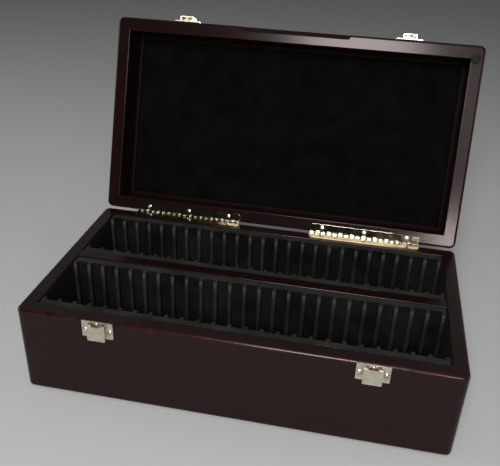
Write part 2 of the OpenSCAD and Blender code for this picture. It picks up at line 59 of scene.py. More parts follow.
STRIKE_W, STRIKE_H, HOUSING_W, HOUSING_H, HOUSING_Q = 26.0, 14.5, 13.2, 13.2, 5.5
STRIKER_EAR_X, STRIKER_EAR_Z = 9.8, 8.0
FELT_T, LINER_T, END_LINER_T, LINING_T, LINING_Z = 1.0, 1.5, 1.0, 1.5, 126.5
BUMPER_R, BUMPER_T, BUMPER_IN_X, BUMPER_IN_Y = 5.0, 2.0, 8.75, 12.75

# Sizes in millimetres that only the looks need
SHANK_R, POINT_R, POINT_H = 1.0, 0.4, 0.6
HINGE_SCREW_R, HINGE_SCREW_CROWN = 2.1, 0.25
EAR_SCREW_R, EAR_SCREW_H = 2.35, 1.3
MID_SCREW_R, MID_SCREW_H = 1.7, 1.5
LUG_X, LUG_T, CHEEK_T = 6.15, 0.9, 0.8
# Faces that meet by less, in degrees, are shaded as one surface
SMOOTH_UNDER = 35.0


# Shaping

def block(x, y, z, corner=0.0, edge=0.0, edge_steps=2):
    """A block between the limits, its edges along Z rounded to corner, the rest to edge."""
    bm = bmesh.new()
    bmesh.ops.create_cube(bm, size=1)
    bmesh.ops.scale(bm, verts=bm.verts, vec=[hi - lo for lo, hi in (x, y, z)])
    bmesh.ops.translate(bm, verts=bm.verts, vec=[(hi + lo) / 2 for lo, hi in (x, y, z)])
    if corner:
        upright = [e for e in bm.edges
                   if abs((e.verts[0].co - e.verts[1].co).normalized().z) > 0.9]
        bevel(bm, upright, corner, 4)
    if edge:
        bevel(bm, sharp(bm), edge, edge_steps)
    return bm


def sharp(bm, angle=40.0):
    """The edges at which two faces meet by more than angle, in degrees."""
    return [e for e in bm.edges
            if len(e.link_faces) == 2 and e.calc_face_angle(0.0) > radians(angle)]


def bevel(bm, edges, width, steps):
    bmesh.ops.bevel(bm, geom=edges, offset=width, offset_type="OFFSET", segments=steps,
                    profile=0.5, affect="EDGES", clamp_overlap=True, material=-1)


def verts_in(geom):
    return [g for g in geom if isinstance(g, bmesh.types.BMVert)]


def edges_in(geom):
    return [g for g in geom if isinstance(g, bmesh.types.BMEdge)]


def cut_away(bm, point, outwards):
    """Takes off what lies outwards of a plane through point, and closes the cut."""
    cut = bmesh.ops.bisect_plane(bm, geom=bm.verts[:] + bm.edges[:] + bm.faces[:],
                                 clear_outer=True, plane_co=point, plane_no=outwards)
    bmesh.ops.contextual_create(bm, geom=edges_in(cut["geom_cut"]))
    bmesh.ops.recalc_face_normals(bm, faces=bm.faces)


def moved(bm, matrix):
    bmesh.ops.transform(bm, matrix=matrix, verts=bm.verts)
    return bm


def merged(*parts):
    """One bmesh that holds all of them."""
    whole = parts[0]
    for bm in parts[1:]:
        mesh = bpy.data.meshes.new("joining")
        bm.to_mesh(mesh)
        bm.free()
        whole.from_mesh(mesh)
        bpy.data.meshes.remove(mesh)
    return whole


def copied(bm, *matrices):
    """A new bmesh with one copy of bm for each matrix; bm is used up."""
    whole = bmesh.new()
    mesh = bpy.data.meshes.new("copying")
    for matrix in matrices:
        one = moved(bm.copy(), matrix)
        if matrix.determinant() < 0:
            bmesh.ops.reverse_faces(one, faces=one.faces)
        one.to_mesh(mesh)
        one.free()
        whole.from_mesh(mesh)
    bm.free()
    bpy.data.meshes.remove(mesh)
    return whole


def turned(profile, steps):
    """A profile of (radius, height) turned round Z."""
    bm = bmesh.new()
    verts = [bm.verts.new((r, 0, h)) for r, h in profile]
    line = [bm.edges.new(pair) for pair in zip(verts, verts[1:])]
    bmesh.ops.spin(bm, geom=verts + line, axis=(0, 0, 1), cent=(0, 0, 0), dvec=(0, 0, 0),
                   angle=2 * pi, steps=steps, use_merge=True)
    bmesh.ops.remove_doubles(bm, verts=bm.verts, dist=1e-4)
    return bm


def turned_along_x(profile, steps=24):
    """The same, round X."""
    return moved(turned(profile, steps), Matrix.Rotation(pi / 2, 4, "Y"))


def rod(x0, x1, r, edge, steps=24):
    """A round bar along X with eased ends."""
    return turned_along_x([(0, x0), (r - edge, x0), (r, x0 + edge),
                           (r, x1 - edge), (r - edge, x1), (0, x1)], steps)


def piece(name, bm, body, material, replaces, place=None):
    """Finishes a bmesh in millimetres as an object of the scene and ties it to its body."""
    if place is not None:
        moved(bm, place)
    bmesh.ops.scale(bm, verts=bm.verts, vec=(0.001, 0.001, 0.001))
    bmesh.ops.remove_doubles(bm, verts=bm.verts, dist=1e-7)
    bmesh.ops.recalc_face_normals(bm, faces=bm.faces)
    mesh = bpy.data.meshes.new(name)
    bm.to_mesh(mesh)
    bm.free()
    mesh.shade_smooth()
    mesh.set_sharp_from_angle(angle=radians(SMOOTH_UNDER))
    mesh.materials.append(material)
    obj = bpy.data.objects.new(name, mesh)
    bpy.context.collection.objects.link(obj)
    # Without this, a flat face beside an eased edge is shaded as if it were bent
    flats = obj.modifiers.new("flats_shade_flat", "WEIGHTED_NORMAL")
    flats.keep_sharp = True
    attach(obj, body)
    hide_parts(*replaces)
    return obj


def shift(x=0.0, y=0.0, z=0.0):
    return Matrix.Translation((x, y, z))


MIRROR_X = Matrix.Scale(-1, 4, (1, 0, 0))
MIRROR_Y = Matrix.Scale(-1, 4, (0, 1, 0))
MIRROR_Z = Matrix.Scale(-1, 4, (0, 0, 1))
# The lid is drawn closed and turned to its resting angle
OPENED = (shift(*HINGE) @ Matrix.Rotation(-radians(LID_OPEN), 4, "X")
          @ shift(*HINGE).inverted())
# Catches and strikers are drawn lying flat: across, up, out of the wood
FACING = Matrix.Rotation(pi / 2, 4, "X")


# Materials

# Sockets of a Mix node that mixes two colours
FIRST, SECOND, MIXED = 6, 7, 2


def linear(code):
    """An sRGB hex colour as linear RGBA."""
    parts = [int(code[i:i + 2], 16) / 255 for i in (1, 3, 5)]
    return tuple(v / 12.92 if v <= 0.04045 else ((v + 0.055) / 1.055) ** 2.4
                 for v in parts) + (1.0,)


def add(tree, kind, links=None, stops=(), **settings):
    """One node with its settings, its inputs as values or as other nodes' outputs, and, on a
    colour ramp, its stops as (place, hex colour)."""
    made = tree.nodes.new(kind)
    for key, value in settings.items():
        setattr(made, key, value)
    for key, value in (links or {}).items():
        if isinstance(value, bpy.types.NodeSocket):
            tree.links.new(value, made.inputs[key])
        else:
            made.inputs[key].default_value = value
    for i, (place, code) in enumerate(stops):
        if i >= len(made.color_ramp.elements):
            made.color_ramp.elements.new(place)
        made.color_ramp.elements[i].position = place
        made.color_ramp.elements[i].color = linear(code)
    return made


def new_material(name, **constants):
    """A material with constants on its shader: (material, tree, shader, coordinates)."""
    mat = bpy.data.materials.new(name)
    mat.use_nodes = True
    tree = mat.node_tree
    tree.nodes.clear()
    shader = add(tree, "ShaderNodeBsdfPrincipled", constants)
    add(tree, "ShaderNodeOutputMaterial", {"Surface": shader.outputs["BSDF"]})
    coords = add(tree, "ShaderNodeTexCoord").outputs["Object"]
    return mat, tree, shader, coords


def per_mm(*sizes):
    """Scale of a pattern whose features have these sizes in millimetres."""
    return tuple(1000 / s for s in sizes)


def lacquered_mahogany(name, along, low, high, lid=False, gloss=(0.14, 0.2), shine=0.3,
                       edge_redness=0.6, tones=("#150b0a", "#180c0b", "#1c0e0d")):
    """Mahogany stained almost black-red under a lacquer polished soft: very faint straight
    stripes and short fine pores along the board, clear soft reflections, and a redder tone
    along the
    edges of the box from low to high: stain thinned by handling, and a painted edge highlight."""
    mat, tree, shader, coords = new_material(
        name, **{"IOR": 1.45, "Specular IOR Level": shine, "Specular Tint": linear("#fff0ec")})
    if lid:
        # The open lid's places, as if it were shut
        shut = OPENED.inverted()
        coords = add(tree, "ShaderNodeMapping", {
            "Vector": coords, "Location": shut.translation / 1000,
            "Rotation": shut.to_euler()}).outputs["Vector"]
    # Length along the grain and width across it, and the detail, of stripes, fibres and pores
    noises = []
    for long, wide, detail in ((260.0, 9.0, 2.0), (30.0, 1.3, 3.0), (6.0, 0.6, 1.0)):
        size = (long, wide, wide) if along == "X" else (wide, long, wide)
        scaled = add(tree, "ShaderNodeMapping", {"Vector": coords, "Scale": per_mm(*size)})
        noises.append(add(tree, "ShaderNodeTexNoise", {
            "Vector": scaled.outputs["Vector"], "Scale": 1.0, "Detail": detail,
            "Roughness": 0.5}).outputs["Fac"])
    stripes, fibres, pores = noises
    figure = add(tree, "ShaderNodeMath", {0: stripes, 1: fibres}, operation="ADD").outputs[0]
    half_figure = add(tree, "ShaderNodeMath", {0: figure, 1: 0.5}, operation="MULTIPLY")
    tone = add(tree, "ShaderNodeValToRGB", {"Fac": half_figure.outputs[0]},
               stops=tuple(zip((0.36, 0.5, 0.64), tones)))
    dark = add(tree, "ShaderNodeMapRange", {
        "Value": pores, "From Min": 0.62, "From Max": 0.74, "To Max": 0.6})
    boards = add(tree, "ShaderNodeMix", {
        "Factor": dark.outputs["Result"], FIRST: tone.outputs["Color"],
        SECOND: linear("#100808")}, data_type="RGBA")
    # How near an edge of the box: the second smallest of the depths under its faces
    middle = [(a + b) / 2000 for a, b in zip(low, high)]
    reach = [(b - a) / 2000 for a, b in zip(low, high)]
    away = add(tree, "ShaderNodeVectorMath", {0: coords, 1: middle}, operation="SUBTRACT")
    folded = add(tree, "ShaderNodeVectorMath", {0: away.outputs[0]}, operation="ABSOLUTE")
    depth = add(tree, "ShaderNodeVectorMath", {0: folded.outputs[0], 1: reach},
                operation="SUBTRACT")
    axes = add(tree, "ShaderNodeSeparateXYZ", {"Vector": depth.outputs[0]}).outputs
    edge = -1.0
    for a, b in ((0, 1), (1, 2), (2, 0)):
        pair = add(tree, "ShaderNodeMath", {0: axes[a], 1: axes[b]}, operation="MINIMUM")
        edge = add(tree, "ShaderNodeMath", {0: edge, 1: pair.outputs[0]},
                   operation="MAXIMUM").outputs[0]
    # The redder edge tone, stain thinned by handling and a painted edge highlight, runs from
    # 3.4 mm inside an edge on, in broken patches of about 14 mm
    near = add(tree, "ShaderNodeMapRange", {
        "Value": edge, "From Min": -0.0034, "From Max": -0.0008})
    patches = add(tree, "ShaderNodeTexNoise", {
        "Vector": coords, "Scale": per_mm(14)[0], "Detail": 4.0}).outputs["Fac"]
    broken = add(tree, "ShaderNodeMapRange", {
        "Value": patches, "From Min": 0.35, "From Max": 0.65, "To Max": edge_redness})
    paler_mix = add(tree, "ShaderNodeMath", {
        0: near.outputs["Result"], 1: broken.outputs["Result"]}, operation="MULTIPLY")
    colour = add(tree, "ShaderNodeMix", {
        "Factor": paler_mix.outputs[0], FIRST: boards.outputs[MIXED], SECOND: linear("#451c17")},
        data_type="RGBA")
    tree.links.new(colour.outputs[MIXED], shader.inputs["Base Color"])
    rough = add(tree, "ShaderNodeMapRange", {
        "Value": fibres, "To Min": gloss[0], "To Max": gloss[1]})
    tree.links.new(rough.outputs["Result"], shader.inputs["Roughness"])
    relief = add(tree, "ShaderNodeBump", {
        "Height": figure, "Strength": 0.02, "Distance": 0.0003})
    tree.links.new(relief.outputs["Normal"], shader.inputs["Normal"])
    return mat


def flock(name, deep, lit, grain, sheen, top_light_colour=None):
    """Short dense pile: no gloss, a speckle of lit and shaded tips, and a soft pale bloom
    where it is seen edge on. The speckle, grain mm wide, is drawn a little coarser than real
    pile, so that it shows. Given a colour for the top, the pile is painted paler towards the
    top of the racks: painted light, fading down into the compartments."""
    mat, tree, shader, coords = new_material(
        name, **{"Roughness": 1.0, "Specular IOR Level": 0.05, "Sheen Weight": sheen,
                 "Sheen Roughness": 0.6, "Sheen Tint": linear("#b8bab8")})
    tips = add(tree, "ShaderNodeTexNoise", {
        "Vector": coords, "Scale": per_mm(grain)[0], "Detail": 3.0,
        "Roughness": 0.75}).outputs["Fac"]
    # Pile brushed one way and the other by hand, in patches of about 22 mm
    brushed = add(tree, "ShaderNodeTexNoise", {
        "Vector": coords, "Scale": per_mm(22)[0], "Detail": 3.0}).outputs["Fac"]
    mixed = add(tree, "ShaderNodeMath", {0: tips, 1: brushed}, operation="ADD")
    half = add(tree, "ShaderNodeMath", {0: mixed.outputs[0], 1: 0.5}, operation="MULTIPLY")
    tone = add(tree, "ShaderNodeValToRGB", {"Fac": half.outputs[0]},
               stops=((0.4, deep), (0.6, lit))).outputs["Color"]
    # Painted light: paler towards the top of the racks, fading down into the compartments
    if top_light_colour:
        high = add(tree, "ShaderNodeSeparateXYZ", {"Vector": coords}).outputs["Z"]
        top = (RACK_Z + RACK_H) / 1000
        paler_mix = add(tree, "ShaderNodeMapRange", {
            "Value": high, "From Min": top - 0.012, "From Max": top - 0.001, "To Max": 0.8},
            interpolation_type="SMOOTHSTEP")
        tone = add(tree, "ShaderNodeMix", {
            "Factor": paler_mix.outputs["Result"], FIRST: tone, SECOND: linear(top_light_colour)},
            data_type="RGBA").outputs[MIXED]
    tree.links.new(tone, shader.inputs["Base Color"])
    relief = add(tree, "ShaderNodeBump", {"Height": tips, "Strength": 0.5, "Distance": 0.0004})
    tree.links.new(relief.outputs["Normal"], shader.inputs["Normal"])
    return mat


def nickel_plate(name, low, high, dull="#c6bfac", bright="#dad4c4"):
    """Nickel on stamped steel: a warm grey mirror, clouded by handling in patches of about
    5 mm, its roughness between low and high, with fine marks 0.9 mm apart."""
    mat, tree, shader, coords = new_material(name, **{"Metallic": 1.0})
    clouds = add(tree, "ShaderNodeTexNoise", {
        "Vector": coords, "Scale": per_mm(5)[0], "Detail": 4.0}).outputs["Fac"]
    tone = add(tree, "ShaderNodeValToRGB", {"Fac": clouds},
               stops=((0.35, dull), (0.65, bright)))
    tree.links.new(tone.outputs["Color"], shader.inputs["Base Color"])
    rough = add(tree, "ShaderNodeMapRange", {
        "Value": clouds, "From Min": 0.3, "From Max": 0.7, "To Min": low, "To Max": high})
    tree.links.new(rough.outputs["Result"], shader.inputs["Roughness"])
    marks = add(tree, "ShaderNodeTexNoise", {
        "Vector": coords, "Scale": per_mm(0.9)[0], "Detail": 2.0}).outputs["Fac"]
    relief = add(tree, "ShaderNodeBump", {
        "Height": marks, "Strength": 0.03, "Distance": 0.0001})
    tree.links.new(relief.outputs["Normal"], shader.inputs["Normal"])
    return mat


BASE_BOX = (-CASE_L / 2, -CASE_D / 2, FELT_T), (CASE_L / 2, CASE_D / 2, BASE_H)
LID_BOX = (-CASE_L / 2, -CASE_D / 2, LID_Z), (CASE_L / 2, CASE_D / 2, LID_Z + LID_H)
# Stained and lacquered mahogany: nearly black, with clear reflections, and red at the edges:
# stain thinned by handling, and a painted edge highlight
WOOD_X = lacquered_mahogany("mahogany_grain_along_front", "X", *BASE_BOX)
WOOD_Y = lacquered_mahogany("mahogany_grain_along_side", "Y", *BASE_BOX)
# The same on the lid, which is handled less: fainter reflections, and less of the red edge
# tone with its painted highlight
LID_FAINTER = {"lid": True, "shine": 0.2, "edge_redness": 0.2}
LID_WOOD_X = lacquered_mahogany(
    "lid_mahogany_grain_along_front", "X", *LID_BOX, **LID_FAINTER)
LID_WOOD_Y = lacquered_mahogany(
    "lid_mahogany_grain_along_side", "Y", *LID_BOX, **LID_FAINTER)
# Stained mahogany under a dull undercoat only, in darker tones that paint the shade on the
# beads: they show as a dark matt line
MATT_SHADED = {"lid": True, "gloss": (0.5, 0.6), "shine": 0.04, "edge_redness": 0.0,
        "tones": ("#0f0707", "#120908", "#150a09")}
BEAD_X = lacquered_mahogany("bead_mahogany_along_front", "X", *LID_BOX, **MATT_SHADED)
BEAD_Y = lacquered_mahogany("bead_mahogany_along_side", "Y", *LID_BOX, **MATT_SHADED)
# Flocked foam: black between the ribs, a charcoal painted light on the upward faces, and a
# grey painted highlight on the rib tips that grows paler towards the top
RACK_FOAM = flock("rack_black_flock", "#060607", "#171717", 1.1, 0.02)
RACK_TIP_LIT = flock("rack_flock_tip_painted_highlight", "#111112", "#282828", 1.0, 0.05, top_light_colour="#414140")
RACK_TOP_LIT = flock("rack_flock_top_painted_light", "#171816", "#2a2b28", 0.9, 0.04)
# Woven velvet: the deepest black of all, with hardly any speckle
LINING = flock("lining_black_velvet", "#040405", "#0a0a0b", 0.8, 0.0)
# Pressed felt: black with a faint nap, a little paler and coarser under the base
LINER = flock("liner_black_felt", "#080809", "#131314", 0.9, 0.02)
FOOT_FELT = flock("foot_black_felt", "#0c0c0e", "#1a1a1c", 1.2, 0.05)
# Fine grey felt: a soft greenish grey dot on the dark rim
PAD_FELT = flock("bumper_grey_felt", "#141816", "#252a27", 0.7, 0.03)
# Bright nickel plate: a yellowish mirror, whose knuckles catch the lamps as points of light
HINGE_NICKEL = nickel_plate("hinge_bright_nickel", 0.05, 0.09, "#b9ad92", "#cfc5ae")
# Turned and plated screws: a softer mirror, bright on its crown
SCREW_NICKEL = nickel_plate("screw_turned_nickel", 0.2, 0.28)
# Satin nickel plate: pale and warm, with broad soft highlights
CATCH_NICKEL = nickel_plate("catch_satin_nickel", 0.36, 0.44, "#cfc7b2", "#dcd5c2")
# Bare drawn steel: greyer than the plate
STEEL = nickel_plate("spring_steel", 0.2, 0.35, "#8f8f8d", "#b4b3b0")


def dress(material, *names):
    """Gives CAD nodes a material."""
    for name in names:
        node = nodes[name]
        if not node.material_slots:
            node.data.materials.append(material)
        for s in node.material_slots:
            s.material = material


# The woodwork stays as the CAD part gives it, and the pieces below replace all the rest
dress(WOOD_X, "base_wall_front", "base_wall_back", "divider", "base_floor")
dress(WOOD_Y, "base_wall_left", "base_wall_right")
dress(LID_WOOD_X, "lid_wall_front", "lid_wall_back", "lid_top")
dress(LID_WOOD_Y, "lid_wall_left", "lid_wall_right")
dress(BEAD_X, "bead_front", "bead_back")
dress(BEAD_Y, "bead_left", "bead_right")


# Racks

def rack(row, face):
    """One flocked foam strip with its ribs: rounded tips, and tops cut away towards the
    slots. Row and face are -1 for the one nearer the front and 1 for the one behind."""
    strip_round, tip_round, top_round, root = 0.7, 1.0, 0.4, 0.5
    strip = block((-RACK_L / 2, RACK_L / 2), (0, STRIP_T), (0, RACK_H), edge=strip_round)
    rib = block((-RIB_W / 2, RIB_W / 2), (-root, RIB_DEPTH), (0, RACK_H))
    cut_away(rib, (0, RIB_DEPTH - RIB_LEAD, RACK_H), (0, 1, 1))
    tips = [e for e in sharp(rib) if min(v.co.y for v in e.verts) > RIB_DEPTH - 0.1
            and abs(e.verts[0].co.z - e.verts[1].co.z) > 1]
    bevel(rib, tips, tip_round, 3)
    tops = [e for e in sharp(rib, 30) if min(v.co.z for v in e.verts) > RACK_H - 3]
    bevel(rib, tops, top_round, 2)
    ribs = copied(rib, *(shift((i - SLOTS / 2) * PITCH, STRIP_T) for i in range(SLOTS + 1)))
    place = (shift(0, row * ROW_Y, RACK_Z) @ (Matrix() if face < 0 else MIRROR_Y)
             @ shift(0, -ROW_D / 2))
    side = ("front" if row < 0 else "back") + ("_near" if face < 0 else "_far")
    made = piece("rack_" + side, merged(strip, ribs), "base", RACK_FOAM,
                 ["strip_" + side, "ribs_" + side], place)
    made.data.materials.append(RACK_TOP_LIT)
    made.data.materials.append(RACK_TIP_LIT)
    # Painted light: the upward faces take the charcoal top, and the rib tips the grey
    # highlight
    top_slot, tip_slot = 1, 2
    tip_y = ROW_D / 2 - STRIP_T - RIB_DEPTH + tip_round + 0.1
    for part in made.data.polygons:
        if part.normal.z > 0.6:
            part.material_index = top_slot
        elif abs(part.center.y * 1000 - row * ROW_Y) < tip_y and abs(part.normal.y) > 0.3:
            part.material_index = tip_slot


for row in (-1, 1):
    for face in (-1, 1):
        rack(row, face)


# Linings

def lining(name, limits, body, material, node, place=None, corner=0.0, edge=0.35):
    """A sheet glued flat over the whole place of a node, its cut edges soft. Limits are its
    cut size in millimetres."""
    made = piece(name, block(*limits, corner=corner, edge=edge, edge_steps=3), body, material,
                 [node], place)


FOOT_IN, FOOT_CORNER = 4, 6
inner_x, inner_y = CASE_L / 2 - WALL_T, CASE_D / 2 - WALL_T
felt_x, felt_y = CASE_L / 2 - FOOT_IN, CASE_D / 2 - FOOT_IN
lining("base_felt_sheet", ((-felt_x, felt_x), (-felt_y, felt_y), (0, FELT_T)), "base",
       FOOT_FELT, "base_felt", corner=FOOT_CORNER)
lining("lid_lining_velvet", ((-inner_x, inner_x), (-inner_y, inner_y),
                             (LINING_Z, LINING_Z + LINING_T)),
       "lid", LINING, "lid_lining", OPENED, edge=0.5)
for side, y in (("front", -ROW_Y), ("back", ROW_Y)):
    lining("floor_liner_" + side + "_felt",
           ((-inner_x, inner_x), (y - ROW_D / 2, y + ROW_D / 2), (RACK_Z - LINER_T, RACK_Z)),
           "base", LINER, "floor_liner_" + side)
end = block((inner_x - END_LINER_T, inner_x), (-ROW_D / 2, ROW_D / 2),
            (RACK_Z, RACK_Z + RACK_H), edge=0.3)
places = [shift(0, y) @ turn for y in (-ROW_Y, ROW_Y) for turn in (Matrix(), MIRROR_X)]
ends = piece("end_liners_felt", copied(end, *places), "base", LINER,
             ["end_liners"])


# Screws

def shank(top, length):
    """The steps of a shank from its top down to its blunt point."""
    return (SHANK_R, top), (SHANK_R, top - length), (POINT_R, top - length - POINT_H)


def screw_head(r, crown, skirt):
    """A domed head with a cross recess, its rim at z = 0, drawn out of a square grid. Skirt
    lists the (radius, height) steps that go on from the rim."""
    arm_half, arm_reach, recess, taper = 0.05, 0.5, 0.5, 0.8
    bm = bmesh.new()
    # Nine cells a side, whose middle row and column make the cross
    bmesh.ops.create_grid(bm, x_segments=9, y_segments=9, size=1)
    cross = []
    for f in bm.faces:
        near, far = sorted(abs(c) for c in f.calc_center_median().xy)
        if near < arm_half and far < arm_reach:
            cross.append(f)
    for v in bm.verts:
        x, y = v.co.x, v.co.y
        v.co.x, v.co.y = r * x * sqrt(1 - y * y / 2), r * y * sqrt(1 - x * x / 2)
        v.co.z = crown * (1 - (v.co.x ** 2 + v.co.y ** 2) / (r * r))
    sunk = bmesh.ops.extrude_face_region(bm, geom=cross)
    bmesh.ops.delete(bm, geom=cross, context="FACES")
    low = verts_in(sunk["geom"])
    bmesh.ops.scale(bm, verts=low, vec=(taper, taper, 1))
    bmesh.ops.translate(bm, verts=low, vec=(0, 0, -recess))
    rim = [e for e in bm.edges if e.is_boundary]
    for step_r, step_z in skirt:
        out = bmesh.ops.extrude_edge_only(bm, edges=rim)["geom"]
        rim = edges_in(out)
        for v in verts_in(out):
            d = Vector((v.co.x, v.co.y)).normalized()
            v.co = Vector((d.x * step_r, d.y * step_r, step_z))
    bmesh.ops.contextual_create(bm, geom=rim)
    return bm


def hinge_screw():
    """Countersunk, its rim flush with z = 0."""
    return screw_head(HINGE_SCREW_R, HINGE_SCREW_CROWN, shank(-1.2, 7.2))


def mid_screw():
    """A domed head standing on z = 0."""
    return screw_head(MID_SCREW_R, MID_SCREW_H,
                      ((MID_SCREW_R - 0.15, -0.02), *shank(-0.02, 9.58)))


def ear_screw():
    """A low pan head with an upright side, standing on z = 0."""
    r, side = EAR_SCREW_R, 0.65 * EAR_SCREW_H
    under = -side - 0.02
    bm = screw_head(r - 0.2, EAR_SCREW_H - side,
                    ((r, -0.2), (r, under), *shank(under, 9.58)))
    return moved(bm, shift(0, 0, side))


def ear_screws(x, z, turn, turn_per_mm):
    """The two screws at x to the left and right, their recesses at odd angles."""
    return copied(ear_screw(), *(
        shift(side, z, PLATE_T) @ Matrix.Rotation(turn + turn_per_mm * side, 4, "Z")
        for side in (-x, x)))


# Hinges

def knuckle(x0, x1):
    """A curled barrel, its ends drawn in by the press."""
    r = KNUCKLE_R
    shape = [(0, 0), (r - 0.7, 0), (r - 0.3, 0.35), (r - 0.05, 0.85), (r, 1.15)]
    return turned_along_x([(a, x0 + b) for a, b in shape]
                          + [(a, x1 - b) for a, b in reversed(shape)])


def leaf(parity):
    """A stamped leaf under its axis, with every second knuckle curled from it."""
    half, back = HINGE_L / 2, KNUCKLE_R + 0.3
    gap, edge = 0.15, 0.12
    under, over = -LEAF_DROP, LEAF_T - LEAF_DROP
    plate = block((-half, half), (-LEAF_W, -back), (under, over))
    corners = [e for e in plate.edges if all(v.co.y < -LEAF_W + 0.1 for v in e.verts)
               and abs(e.verts[0].co.z - e.verts[1].co.z) > 0.5]
    bevel(plate, corners, LEAF_CORNER, 8)
    bevel(plate, [e for e in sharp(plate) if all(v.co.z > over - 0.01 for v in e.verts)],
          edge, 2)
    pitch = HINGE_L / KNUCKLES
    parts = [plate]
    for k in range(parity, KNUCKLES, 2):
        x0 = -half + k * pitch + gap
        x1 = x0 + pitch - 2 * gap
        parts.append(knuckle(x0, x1))
        parts.append(block((x0, x1), (-back - 0.1, -0.4), (under, over), edge=edge,
                           edge_steps=1))
    return merged(*parts)


for hand, s in (("left", -1), ("right", 1)):
    at_hinge = shift(s * HINGE_X, HINGE[1], HINGE[2])
    piece("hinge_base_leaf_" + hand + "_stamped", leaf(0), "base", HINGE_NICKEL,
          ["hinge_base_leaf_" + hand], at_hinge)
    piece("hinge_lid_leaf_" + hand + "_stamped", leaf(1), "lid", HINGE_NICKEL,
          ["hinge_lid_leaf_" + hand], OPENED @ at_hinge @ MIRROR_Z)
    piece("hinge_pin_" + hand + "_drawn", rod(-HINGE_L / 2, HINGE_L / 2, PIN_R, 0.2), "base",
          STEEL, ["hinge_pin_" + hand], at_hinge)

seats = [shift(s * HINGE_X + k * HINGE_SCREW_X, HINGE[1] - HINGE_SCREW_IN,
               HINGE[2] - LEAF_DROP + LEAF_T)
         @ Matrix.Rotation(0.5 * k + 0.3 * s, 4, "Z") for s in (-1, 1) for k in (-1, 0, 1)]
piece("hinge_base_screws_domed", copied(hinge_screw(), *seats), "base", SCREW_NICKEL,
      ["hinge_base_screws"])
# With the lid shut, its screws mirror the base's over the hinge axis
lid_seats = [shift(0, 0, 2 * HINGE[2]) @ MIRROR_Z @ seat for seat in seats]
piece("hinge_lid_screws_domed", copied(hinge_screw(), *lid_seats), "lid", SCREW_NICKEL,
      ["hinge_lid_screws"], OPENED)


# Catches

def catch_plate():
    """The pressed plate, with two lugs that end in eyes for the pins."""
    parts = [block((-PLATE_W / 2, PLATE_W / 2), (-PLATE_H, PLATE_TOP), (0, PLATE_T),
                   corner=0.8, edge=0.3)]
    for x in (-LUG_X, LUG_X):
        x0, x1 = x - LUG_T / 2, x + LUG_T / 2
        parts.append(block((x0, x1), (AXIS_Z - 1.9, AXIS_Z - 0.3), (PLATE_T - 0.2, AXIS_Q),
                           edge=0.1, edge_steps=1))
        parts.append(moved(rod(x0, x1, LUG_R, 0.1), shift(0, AXIS_Z, AXIS_Q)))
    return merged(*parts)


def catch_lever():
    """One strip of sheet: a finger lip along its foot, the flat flap, and a top folded over
    the pins, with a mouth round the middle screw. Two cheeks close its ends, and a nose under
    the mouth takes the striker's fork."""
    low, half, inner = LEVER_TOP - LEVER_H, LEVER_W / 2, LEVER_Q - LEVER_T
    fold, mouth_x, mouth_y = 0.4, 3.9, AXIS_Z + 0.4
    lip, corner_x, corner_y = 0.12, 0.6, 0.5
    # The strip's outer side from the lip to the fold, as (up, out)
    outline = [(low + up, LEVER_Q + out * lip)
               for up, out in ((0, 1), (0.4, 1), (0.55, 0.7), (0.7, 0.2), (0.9, 0))]
    outline.append((mouth_y, LEVER_Q))
    for i in range(7):
        turn = radians(15 * i)
        outline.append((LEVER_TOP - fold + fold * sin(turn),
                        LEVER_Q - fold + fold * cos(turn)))
    outline.append((LEVER_TOP, AXIS_Q - 0.2))
    sheet = bmesh.new()
    verts = [sheet.verts.new((-half, y, q)) for y, q in outline]
    front = [sheet.edges.new(pair) for pair in zip(verts, verts[1:])]
    for x in (-half + corner_x, -mouth_x, mouth_x, half - corner_x, half):
        grown = bmesh.ops.extrude_edge_only(sheet, edges=front)["geom"]
        front = edges_in(grown)
        for v in verts_in(grown):
            v.co.x = x
    # The foot's two corners are cut off
    for v in sheet.verts:
        if abs(v.co.x) > half - 0.01 and v.co.y < low + 0.1:
            v.co.y += corner_y
    mouth = [f for f in sheet.faces if abs(f.calc_center_median().x) < mouth_x
             and f.calc_center_median().y > mouth_y]
    bmesh.ops.delete(sheet, geom=mouth, context="FACES")
    bmesh.ops.recalc_face_normals(sheet, faces=sheet.faces)
    # Solidify thickens away from the normals, so the flap's has to point outwards
    flap = max(sheet.faces, key=lambda f: f.calc_area())
    if flap.normal.z < 0:
        bmesh.ops.reverse_faces(sheet, faces=sheet.faces)
    bmesh.ops.solidify(sheet, geom=sheet.faces[:], thickness=LEVER_T)
    bmesh.ops.recalc_face_normals(sheet, faces=sheet.faces)
    bevel(sheet, sharp(sheet, 60), 0.14, 2)
    parts = [sheet]
    for side in (-1, 1):
        x0, x1 = sorted((side * (half - CHEEK_T), side * half))
        cheek = block((x0, x1), (low + 1.2, AXIS_Z), (AXIS_Q - ROLL_R, inner + 0.1))
        cut_away(cheek, (0, low + 0.5, inner - 0.8), (0, -2.15, -4.5))
        bevel(cheek, sharp(cheek), 0.1, 2)
        disc = moved(rod(x0, x1, ROLL_R, 0.12, 32), shift(0, AXIS_Z, AXIS_Q))
        parts += [cheek, disc]
    nose = block((-NOSE_W / 2, NOSE_W / 2), (NOSE_Z, NOSE_Z + NOSE_T), (NOSE_Q, inner + 0.1),
                 edge=0.1, edge_steps=1)
    return merged(*parts, nose)


